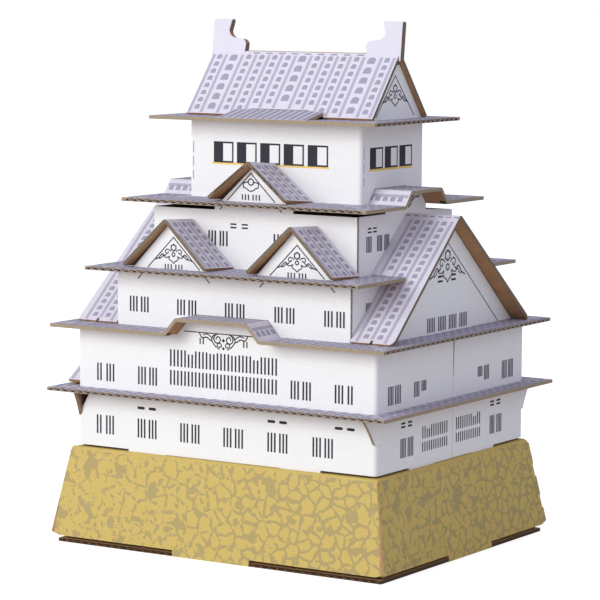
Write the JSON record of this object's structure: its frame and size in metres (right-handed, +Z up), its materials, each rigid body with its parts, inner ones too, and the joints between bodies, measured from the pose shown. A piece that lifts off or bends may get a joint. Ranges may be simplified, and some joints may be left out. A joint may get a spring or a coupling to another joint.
{
  "type": "cardboard castle",
  "caption": "Tiered castle keep folded from printed corrugated card, with plate roofs, gables and a leaning stone-print base.",
  "frame": {"origin": "middle of the underside of the floor plate, on the surface it stands on", "axes": "+Z up, -Y towards the front, +X to the right seen from the front"},
  "size_m": [0.1352, 0.1172, 0.1792],
  "materials": {
    "white_print_card": "matte",
    "roof_print_card": "matte",
    "stone_print_card": "matte",
    "plain_kraft_card": "matte"
  },
  "bodies": {
    "root": {"floor_plate": "plain_kraft_card", "stone_base": "stone_print_card", "lower_front_wall": "white_print_card", "lower_back_wall": "white_print_card", "first_roof": "roof_print_card", "left_small_gable_roof": "roof_print_card", "left_small_gable_face": "white_print_card", "second_roof": "roof_print_card", "third_front_wall": "white_print_card", "third_back_wall": "white_print_card", "third_left_wall": "white_print_card", "third_right_wall": "white_print_card", "third_roof": "roof_print_card", "front_left_gable_roof": "roof_print_card", "front_right_gable_roof": "roof_print_card", "left_big_gable_roof": "roof_print_card", "right_big_gable_roof": "roof_print_card", "left_big_gable_face": "white_print_card", "right_big_gable_face": "white_print_card", "fourth_front_wall": "white_print_card", "fourth_back_wall": "white_print_card", "fourth_left_wall": "white_print_card", "fourth_right_wall": "white_print_card", "fourth_roof": "roof_print_card", "front_middle_gable_roof": "roof_print_card", "fifth_wall": "white_print_card", "fifth_roof": "roof_print_card", "top_roof": "roof_print_card", "top_left_gable_face": "white_print_card", "top_right_gable_face": "white_print_card"}
  },
  "joints": []
}
